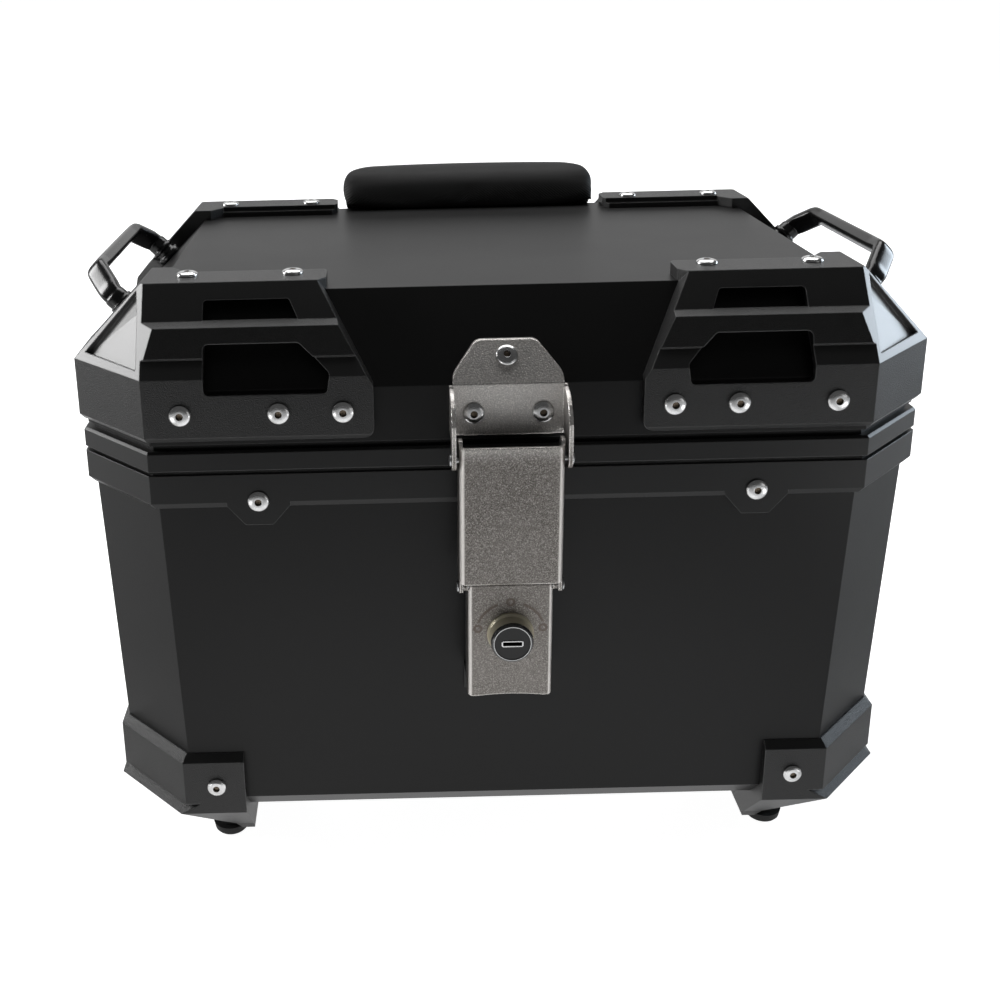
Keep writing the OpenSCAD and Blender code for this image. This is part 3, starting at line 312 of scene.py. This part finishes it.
def seat_vinyl(name, level, rough):
    """Black vinyl over foam: fine pores, and narrow ribs that lean across the upright face and
    fade out over its top."""
    f = Finish(name, Specular_IOR_Level=0.2)
    x, y, z = f.along(f.place())
    bow = f.noise(12.0, 1.0) * 0.012
    rib = ((x.size() * 0.75 + z + bow) * (2 * math.pi / (1.7 * MM))).wave()
    upright = (1 - f.facing((0, 0, 1), 0.35, 0.7)) * (1 - z.between(340 * MM, 347 * MM))
    pore = f.noise(2600.0, 2.0)
    cloud = f.noise(40.0, 3.0)
    base = f.blend(pore.between(0.3, 0.7), grey(level * 0.75), grey(level * 1.1))
    f.vary(Base_Color=base, Roughness=rough + (cloud - 0.5) * 0.1,
           Normal=f.relief(rib * upright * 0.8 + pore * 0.35, 0.16 * MM))
    return f.material


def lock_finish(name):
    """Brass barrel with turned rings; its front lip is dark chrome with a painted highlight on its
    inner edge.
    """
    f = Finish(name, Metallic=0.7)
    rounded = f.soft_edge(0.3 * MM)
    x, y, z = f.along(f.place())
    lip = 1 - y.between(-173.9 * MM, -173.5 * MM)
    z = z - LOCK_Z * MM
    away = (x * x + z * z) ** 0.5
    # a thin ring at the lip's inner edge painted pale: a painted highlight
    bright = 1 - (away - 9.2 * MM).size().between(0.1 * MM, 0.3 * MM)
    mark = f.noise(2200.0, 2.0)
    turning = (y * (2 * math.pi / (0.5 * MM))).wave()
    brass = f.blend(mark, (0.80, 0.73, 0.52, 1), (0.92, 0.88, 0.72, 1))
    base = f.blend(lip, brass, f.blend(bright, grey(0.10), grey(0.55)))
    f.vary(Base_Color=base, Roughness=0.34 + (mark - 0.5) * 0.1 - lip * 0.18,
           Normal=f.relief(mark + turning * 0.6, 0.008 * MM, rounded))
    return f.material


finishes = {
    "shell_black": powder_coat("shell_black", 0.004, 0.40, 0.3, shine=0.27),
    "trim_black": powder_coat("trim_black", 0.006, 0.34, 1.0, radius=0.6 * MM, shine=0.36),
    "guard_black": moulded_texture("guard_black", 0.008, 0.42),
    "rivet_alu": bright_metal("rivet_alu", grey(0.82), 0.22),
    "rivet_core": bright_metal("rivet_core", (0.20, 0.16, 0.12, 1), 0.4),
    "dark_rivet": powder_coat("dark_rivet", 0.014, 0.4, 0.6, radius=0.3 * MM),
    "rubber": soft_rubber("rubber", 0.010, 0.72),
    "zinc_steel": bright_metal("zinc_steel", grey(0.62, -0.01), 0.34),
    "mat_grey": soft_rubber("mat_grey", 0.03, 0.85),
    "latch_steel": blasted_steel("latch_steel", 0.72, 0.44),
    "hinge_black": powder_coat("hinge_black", 0.012, 0.42, 0.6, radius=0.4 * MM),
    "board_black": moulded_texture("board_black", 0.012, 0.6),
    "pad_vinyl": seat_vinyl("pad_vinyl", 0.012, 0.6),
    "handle_black": gloss_moulding("handle_black", 0.006, 0.2),
    "lock_brass": lock_finish("lock_brass"),
    "lock_black": powder_coat("lock_black", 0.010, 0.34, 0.5, radius=0.3 * MM, peel=0.004 * MM),
}

for row in frame["record"]["subparts"]:
    node = frame["nodes"][row["node"]]
    node.data.materials.clear()
    node.data.materials.append(finishes[row["material_slot"]])


# ------------------------------------------------------------------ surfaces worked out as arrays

def surface(name, rings, slot, body, replaced=(), shut=True, look=None):
    """A mesh from rings of points (ring, place, xyz), each ring closed on itself. shut closes both
    ends with a pole at the mean of the end ring. rings may be a list of such arrays."""
    verts, faces, start = [], [], 0
    for ring in rings:
        n, m = ring.shape[:2]
        grid = start + np.arange(n * m).reshape(n, m)
        turn = np.roll(grid, -1, axis=1)
        quads = np.stack([grid[:-1], turn[:-1], turn[1:], grid[1:]], axis=-1).reshape(-1, 4)
        verts.append(ring.reshape(-1, 3))
        faces += quads.tolist()
        start += n * m
        if shut:
            verts.append(np.stack([ring[0].mean(axis=0), ring[-1].mean(axis=0)]))
            low = np.stack([turn[0], grid[0], np.full(m, start)], axis=-1)
            high = np.stack([grid[-1], turn[-1], np.full(m, start + 1)], axis=-1)
            faces += low.tolist() + high.tolist()
            start += 2
    mesh = bpy.data.meshes.new(name)
    mesh.from_pydata(np.concatenate(verts).tolist(), [], faces)
    mesh.polygons.foreach_set("use_smooth", np.ones(len(mesh.polygons), bool))
    mesh.materials.append(finishes[look or slot])
    made = bpy.data.objects.new(name, mesh)
    bpy.context.scene.collection.objects.link(made)
    face_outwards(mesh)
    declare(made, body, replaced)


def face_outwards(mesh):
    """Joins points that coincide and turns every face outwards."""
    tidy = bmesh.new()
    tidy.from_mesh(mesh)
    bmesh.ops.remove_doubles(tidy, verts=tidy.verts, dist=1e-7)
    bmesh.ops.recalc_face_normals(tidy, faces=tidy.faces)
    tidy.to_mesh(mesh)
    tidy.free()


def declare(made, body, replaced=()):
    """Says what the piece rides on and hides the CAD parts it stands for."""
    if replaced:
        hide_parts(*replaced)
    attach(made, body)


def turned(profile, centre, axis, sides=28):
    """Surface of revolution: the profile's (radius, height) pairs carried round the axis, height
    measured along it from the centre."""
    axis = np.asarray(axis, float) / np.linalg.norm(axis)
    side = np.cross(axis, (0.31, 0.52, 0.8))
    side /= np.linalg.norm(side)
    up = np.cross(axis, side)
    turn = np.linspace(0, 2 * np.pi, sides, endpoint=False)
    round_ = np.cos(turn)[:, None] * side + np.sin(turn)[:, None] * up
    radius, height = np.asarray(profile, float).T
    return (np.asarray(centre, float) + radius[:, None, None] * round_
            + height[:, None, None] * axis)


def filleted(corners, radius, steps=10):
    """A path along straight runs, each inner corner replaced by a circular arc of that radius."""
    corners = np.asarray(corners, float)
    points = [corners[:1]]
    for before, corner, after in zip(corners, corners[1:], corners[2:]):
        a, b = before - corner, after - corner
        a, b = a / np.linalg.norm(a), b / np.linalg.norm(b)
        half = np.arccos(np.clip(a @ b, -1, 1)) / 2
        middle = corner + (a + b) / np.linalg.norm(a + b) * radius / np.sin(half)
        first = corner + a * radius / np.tan(half) - middle
        last = corner + b * radius / np.tan(half) - middle
        sweep = np.arccos(np.clip(first @ last / radius ** 2, -1, 1))
        t = np.linspace(0, 1, steps)[:, None]
        points.append(middle + (np.sin((1 - t) * sweep) * first + np.sin(t * sweep) * last)
                      / np.sin(sweep))
    points.append(corners[-1:])
    return np.concatenate(points)


def swept(path, half_width, half_thick, square=3.2, sides=32):
    """A rounded bar: the superellipse |u/w|^k + |v/t|^k = 1 carried along a path in the (y, h)
    plane, u across that plane and v square to the path."""
    tangent = np.gradient(path, axis=0)
    tangent /= np.linalg.norm(tangent, axis=1, keepdims=True)
    turn = np.linspace(0, 2 * np.pi, sides, endpoint=False)
    c, s = np.cos(turn), np.sin(turn)
    u = np.sign(c) * np.abs(c) ** (2 / square)
    v = np.sign(s) * np.abs(s) ** (2 / square)
    w = np.broadcast_to(half_width, len(path))[:, None]
    t = np.broadcast_to(half_thick, len(path))[:, None]
    y = path[:, :1] - tangent[:, 1:] * (t * v)
    h = path[:, 1:] + tangent[:, :1] * (t * v)
    return np.stack([w * u, y, h], axis=-1)


# ------------------------------------------------------------------ carry handles

GUARD_TOP_WIDTH = 181.4
SIDE_RUN = (GUARD_WIDTH - GUARD_TOP_WIDTH) / (GUARD_TOP_Z - BREAK_Z)
HANDLE_Z = 311.0
HANDLE_FOOT, HANDLE_GRIP, HANDLE_RISE = 68.0, 49.0, 25.0
lean = math.atan(1 / SIDE_RUN)
handle_frame = np.array([(math.cos(lean), 0, -math.sin(lean)), (0, 1, 0),
                         (math.sin(lean), 0, math.cos(lean))])
handle_origin = np.array([GUARD_WIDTH - (HANDLE_Z - BREAK_Z) * SIDE_RUN, 0, HANDLE_Z])


def handle_rings():
    """An arched grip on two round bushings, in the frame of the sloping side. The grip's bar is
    rounder in the middle and flat in its arms: its half width goes from 5.6 to 6.5 mm."""
    top = HANDLE_RISE - 3.7
    path = filleted([(-HANDLE_FOOT, 1.5), (-HANDLE_FOOT, 6.5), (-HANDLE_GRIP - 3, top),
                     (HANDLE_GRIP + 3, top), (HANDLE_FOOT, 6.5), (HANDLE_FOOT, 1.5)], 8.0)
    length = np.concatenate([[0], np.cumsum(np.linalg.norm(np.diff(path, axis=0), axis=1))])
    even = np.linspace(0, length[-1], 96)
    path = np.stack([np.interp(even, length, path[:, 0]), np.interp(even, length, path[:, 1])], 1)
    arm = np.clip((np.abs(path[:, 0]) - 40) / 14, 0, 1)
    foot = np.clip((np.abs(path[:, 0]) - 64) / 4, 0, 1)
    bar = swept(path, 5.7 + 0.8 * arm - 0.9 * foot, 3.9 - 0.3 * arm + 1.2 * foot)
    sleeve = [(0, -7.9), (8, -7.9), (8.2, -7.6), (8.2, -4.6), (7.8, -4.1), (6.5, -3.9), (6.4, -3.5),
              (6.4, 4.6), (6.1, 5.6), (5.2, 6.4), (0, 6.5)]
    ring = [(7.15, 0), (7.3, 0.3), (7.3, 2.1), (7.15, 2.4), (6.2, 2.5), (6.2, -0.1)]
    rings = [bar]
    for y in (-HANDLE_FOOT, HANDLE_FOOT):
        rings.append(turned(sleeve, (0, y, 0), (0, 0, 1), 40))
        rings.append(turned(ring, (0, y, -1.4), (0, 0, 1), 40))
    return rings


for side, word in ((-1, "left"), (1, "right")):
    placed = []
    for ring in handle_rings():
        ring = (handle_origin + ring @ handle_frame) * MM
        ring[..., 0] *= side
        placed.append(ring)
    surface("carry_handle_" + word, placed, "handle_black", "lid", ["handle_" + word])


# ------------------------------------------------------------------ mandrel ends in the blind rivets

def rivet_cores(name, places, body):
    """The broken end of the pulled pin, low in each rivet's hole: a domed disc."""
    profile = [(0, 0.25), (1.72, 0.25), (1.72, 0.62), (1.45, 0.86), (0.9, 0.98), (0.5, 0.7),
               (0, 0.66)]
    surface(name, [turned(profile, at, axis, 16) * MM for at, axis in places], "dark_rivet",
            body, look="rivet_core")


def mirrored(x, y, z, axis, fronts=(-1, 1)):
    """The place and direction of a rivet, repeated left and right, front and rear."""
    return [((sx * x, sy * y, z), (sx * axis[0], sy * axis[1], axis[2]))
            for sx in (-1, 1) for sy in fronts]


lid_places = []
for x in (81, 112.5, 160.7):
    lid_places += mirrored(x, 150.4, 274, (0, 1, 0))
for y in (76, 98):
    lid_places += mirrored(GUARD_WIDTH, y, 274, (1, 0, 0))
for x in (106, 160):
    lid_places += mirrored(x, 101.5, GUARD_TOP_Z, (0, 0, 1))
slope_out = np.array([0, -math.sin(LID_SLOPE), math.cos(LID_SLOPE)])
lid_places += mirrored(17, 148.2, 271, (0, 1, 0), (-1,))
BRACKET_RIVET_Z, BRACKET_THICK = 296, 2
bracket_rivet_y = LID_DEPTH - (BRACKET_RIVET_Z - CREASE_Z) / math.tan(LID_SLOPE)
lid_places.append((np.array([0, -bracket_rivet_y, BRACKET_RIVET_Z]) + BRACKET_THICK * slope_out,
                   slope_out))
rivet_cores("rivet_cores_lid", lid_places, "lid")
rivet_cores("rivet_cores_body",
            mirrored(157, 143.2, 56, (0, 1, 0)) + mirrored(215.2, 84, 56, (1, 0, 0))
            + mirrored(125, 147.2, 226.5, (0, 1, 0)) + mirrored(219, 0, 226.5, (1, 0, 0), (1,)),
            "body")


# ------------------------------------------------------------------ key slot

def rounded_frame(half_x, half_z, thick, y0, y1, corner):
    """A rounded rectangular loop of bar round the key slot: its centre line is the rectangle's
    outline with circular corners, its section a rounded square."""
    turn = np.linspace(0, 2 * np.pi, 64, endpoint=False) + np.pi / 64
    c, s = np.cos(turn), np.sin(turn)
    x = np.sign(c) * (half_x - corner) + corner * c
    z = np.sign(s) * (half_z - corner) + corner * s
    out = np.stack([c, s], 1)
    section = np.linspace(0, 2 * np.pi, 12, endpoint=False)
    a = np.sign(np.cos(section)) * np.abs(np.cos(section)) ** 0.6
    b = np.sign(np.sin(section)) * np.abs(np.sin(section)) ** 0.6
    rings = np.stack([x[:, None] + out[:, :1] * thick * a,
                      (y0 + y1) / 2 + 0 * x[:, None] + (y1 - y0) / 2 * b,
                      LOCK_Z + z[:, None] + out[:, 1:] * thick * a], axis=-1)
    return np.concatenate([rings, rings[:1]])


surface("key_slot_frame", [rounded_frame(5.1, 1.35, 0.42, -175.65, -175.2, 0.8) * MM],
        "rivet_alu", "lock_plug", shut=False)


# ------------------------------------------------------------------ backrest pad

def remeshed(name, node, voxel, shrink):
    """A closed, evenly meshed copy of a CAD solid, drawn in by shrink along its own normals."""
    mesh = node.data.copy()
    mesh.name = name
    face_outwards(mesh)
    made = bpy.data.objects.new(name, mesh)
    bpy.context.scene.collection.objects.link(made)
    even = made.modifiers.new("even", "REMESH")
    even.mode = "VOXEL"
    even.voxel_size = voxel
    freeze(made)
    at = points(made.data)
    normal = np.empty(len(at) * 3)
    made.data.vertex_normals.foreach_get("vector", normal)
    put(made.data, at - normal.reshape(-1, 3) * shrink)
    return made


def freeze(made):
    """Replaces the object's mesh with what its modifiers make of it."""
    ready = made.evaluated_get(bpy.context.evaluated_depsgraph_get())
    mesh = bpy.data.meshes.new_from_object(ready)
    made.modifiers.clear()
    made.data = mesh


def points(mesh):
    at = np.empty(len(mesh.vertices) * 3)
    mesh.vertices.foreach_get("co", at)
    return at.reshape(-1, 3)


def put(mesh, at):
    mesh.vertices.foreach_set("co", at.ravel())
    mesh.update()


def stuffed(made, pressure, cap, frames=20):
    """Swells a closed mesh like a filled cover; no point moves further than cap."""
    start = points(made.data)
    cloth = made.modifiers.new("filling", "CLOTH")
    cloth.settings.use_pressure = True
    cloth.settings.uniform_pressure_force = pressure
    cloth.settings.effector_weights.gravity = 0
    cloth.settings.quality = 6
    cloth.point_cache.frame_end = frames
    for frame_number in range(1, frames + 1):
        bpy.context.scene.frame_set(frame_number)
    freeze(made)
    bpy.context.scene.frame_set(1)
    move = points(made.data) - start
    far = np.linalg.norm(move, axis=1, keepdims=True)
    put(made.data, start + move * np.minimum(1, cap / np.maximum(far, 1e-9)))


pad = remeshed("backrest_cushion", frame["nodes"]["backrest_pad"], 4 * MM, 1.2 * MM)
stuffed(pad, 4.0, 5 * MM)
slope_down = np.array([0, math.cos(LID_SLOPE), -math.sin(LID_SLOPE)])
rear_out = np.array([0, math.sin(LID_SLOPE), math.cos(LID_SLOPE)])
panel_edge = np.array([0, PANEL_DEPTH, PANEL_Z]) * MM
COVER_GAP = 0.4 * MM


def settle(at):
    """Keeps the cover off the lid: points below the panel's or the slope's plane move up to it,
    0.4 mm clear. A sewn seam pinches the sides where they are 9 mm above the slope."""
    along, out = (at - panel_edge) @ slope_down, (at - panel_edge) @ rear_out
    pinch = np.exp(-((out - 9 * MM) / (1.5 * MM)) ** 2) * 1.3 * MM
    from_middle = np.clip(np.abs(at[:, 0]) / (84 * MM), 0, 1) ** 6
    at = at - np.stack([np.sign(at[:, 0]) * pinch * from_middle, 0 * pinch, 0 * pinch], 1)
    over_panel = along < 0
    deep = np.maximum(0, PANEL_Z * MM + COVER_GAP - at[:, 2]) * over_panel
    at = at + np.stack([0 * deep, 0 * deep, deep], 1)
    out = (at - panel_edge) @ rear_out
    return at + np.maximum(0, COVER_GAP - out)[:, None] * rear_out * ~over_panel[:, None]


put(pad.data, settle(points(pad.data)))
smooth = pad.modifiers.new("smooth", "SUBSURF")
smooth.levels = smooth.render_levels = 1
pad.data.polygons.foreach_set("use_smooth", np.ones(len(pad.data.polygons), bool))
pad.data.materials.clear()
pad.data.materials.append(finishes["pad_vinyl"])
declare(pad, "lid", ["backrest_pad"])


# ------------------------------------------------------------------ stage, lights and camera

def pale_floor():
    """White paper that lights the case from below."""
    size = 60.0
    mesh = bpy.data.meshes.new("studio_floor")
    mesh.from_pydata([(-size, -size, 0), (size, -size, 0), (size, size, 0), (-size, size, 0)],
                     [], [(0, 1, 2, 3)])
    floor = bpy.data.objects.new("studio_floor", mesh)
    bpy.context.scene.collection.objects.link(floor)
    # the paper glows like a lit table, brightest before the object, with a bright patch off each
    # front corner; where it is seen directly it is plain white
    f = Finish("floor_paper", Roughness=0.9, Specular_IOR_Level=0.1)
    x, y, z = f.along(f.place())
    front = y.between(-0.78, -0.24)
    sides = 1 - x.size().between(0.10, 0.42)
    near = f.blend(front * sides, grey(0.04), grey(0.76))
    patch = x.size().between(0.33, 0.43) * (1 - x.size().between(0.62, 0.72)) \
        * (1 - y.between(-0.36, -0.28)) * y.between(-0.80, -0.68)
    near = f.blend(patch, near, grey(2.2))
    seen = f.make("ShaderNodeLightPath", take="Is Camera Ray")
    f.vary(Base_Color=f.blend(f.noise(3.0, 2.0), grey(0.66), grey(0.69)),
           Emission_Color=f.blend(seen, near, grey(0.97)))
    f.surface.inputs["Emission Strength"].default_value = 1.0
    mesh.materials.append(f.material)


def studio_world():
    """Dim grey all round, white where the camera looks straight past the object."""
    world = bpy.data.worlds.new("studio")
    world.use_nodes = True
    tree = world.node_tree
    back = tree.nodes["Background"]
    back.inputs["Color"].default_value = (1, 1, 1, 1)
    path = tree.nodes.new("ShaderNodeLightPath")
    level = tree.nodes.new("ShaderNodeMapRange")
    level.inputs["To Min"].default_value = 0.07
    level.inputs["To Max"].default_value = 1.0
    tree.links.new(path.outputs["Is Camera Ray"], level.inputs["Value"])
    tree.links.new(level.outputs["Result"], back.inputs["Strength"])
    bpy.context.scene.world = world


def soft_light(name, at, aim, width, height, power, colour=(1, 1, 1)):
    """A rectangular soft box at a point, aimed at another."""
    data = bpy.data.lights.new(name, "AREA")
    data.shape = "RECTANGLE"
    data.size = width
    data.size_y = height
    data.energy = power
    data.color = colour
    light = bpy.data.objects.new(name, data)
    light.visible_camera = False
    bpy.context.scene.collection.objects.link(light)
    light.matrix_world = Matrix.Translation(at) @ (
        Vector(aim) - Vector(at)).to_track_quat("-Z", "Y").to_matrix().to_4x4()


def camera():
    pitch, roll = math.radians(17.1), math.radians(-1.37)
    data = bpy.data.cameras.new("camera")
    data.sensor_width = 36.0
    data.lens = 36.0 * 1.2209
    data.shift_x = 0.5 - 0.3806
    data.shift_y = 0.3539 - 0.5
    data.clip_start = 0.01
    view = bpy.data.objects.new("camera", data)
    view.matrix_world = (Matrix.Translation((-0.0620, -0.7113, 0.4757))
                         @ Matrix.Rotation(math.pi / 2 - pitch, 4, "X")
                         @ Matrix.Rotation(roll, 4, "Z"))
    bpy.context.scene.collection.objects.link(view)
    bpy.context.scene.camera = view


pale_floor()
studio_world()
bpy.context.scene.view_settings.view_transform = "Standard"
soft_light("overhead", (0, 1.0, 2.1), (0, 0, 0.2), 2.6, 1.4, 36)
soft_light("backdrop", (0, 2.6, 0.95), (0, 0, 0.35), 4.2, 1.3, 12)
soft_light("left_window", (-2.3, 0.58, 0.98), (0, 0, 0.25), 1.1, 1.1, 36)
soft_light("right_window", (2.3, 0.9, 0.66), (0, 0, 0.25), 1.1, 1.1, 26, (0.80, 0.90, 1.0))
soft_light("right_front", (1.4, -1.6, 0.35), (0.1, 0, 0.2), 0.9, 0.5, 1.0)
camera()
